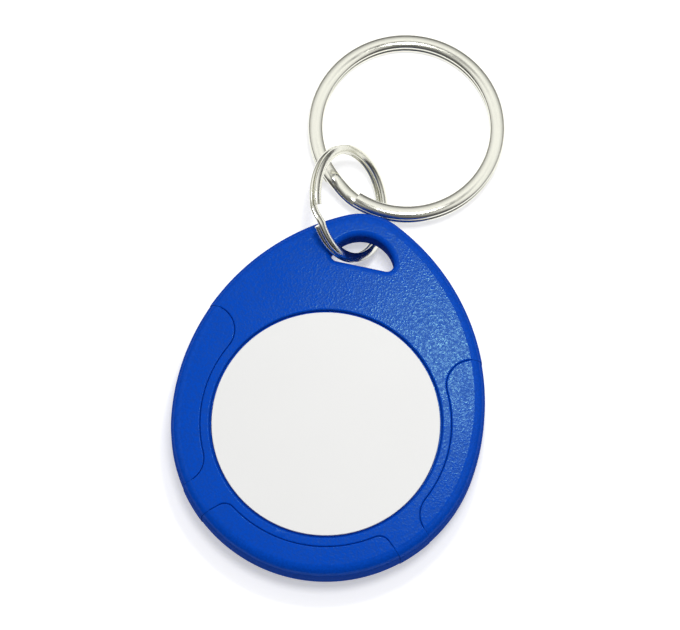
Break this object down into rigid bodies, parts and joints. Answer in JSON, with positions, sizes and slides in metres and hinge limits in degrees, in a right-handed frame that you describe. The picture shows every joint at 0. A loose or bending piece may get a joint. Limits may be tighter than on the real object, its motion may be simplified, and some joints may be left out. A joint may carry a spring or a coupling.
{
  "type": "contactless key fob",
  "caption": "Egg-shaped contactless transit and parking fob with a round face disc, an eye, a link ring and a key ring.",
  "frame": {"origin": "on the flat back, under the centre of the face disc", "axes": "+Y along the fob towards its eye and rings, +Z out of the face with the white disc"},
  "size_m": [0.0314, 0.0583, 0.0101],
  "materials": {
    "case_blue": "fine spark-eroded blue ABS",
    "disc_white": "smooth white PVC",
    "adhesive": "pressure-sensitive layer",
    "enamelled_copper": "enamelled copper wire, self-bonded",
    "board_green": "solder-resist green laminate",
    "resin_black": "cast black resin",
    "solder": "bright solder",
    "nickel_steel": "bright nickel-plated spring steel"
  },
  "bodies": {
    "case": {"front_shell": "case_blue", "back_shell": "case_blue", "face_disc": "disc_white", "disc_adhesive": "adhesive", "antenna_coil": "enamelled_copper", "chip_board": "board_green", "chip_cap": "resin_black", "solder_joints": "solder"},
    "link": {"link_ring": "nickel_steel"},
    "keyring": {"key_ring": "nickel_steel"}
  },
  "joints": [
    {"name": "link_ring_tilt", "type": "hinge", "parent": "case", "child": "link", "pos_m": [-0.0008, 0.0195, 0.0034], "axis": [-0.1685, 0.9857, 0], "range_deg": [0, 72]},
    {"name": "key_ring_swing", "type": "hinge", "parent": "link", "child": "keyring", "pos_m": [0.0013, 0.02355, 0.0026], "axis": [0.9976, -0.0698, 0], "range_deg": [-90, 130]}
  ]
}
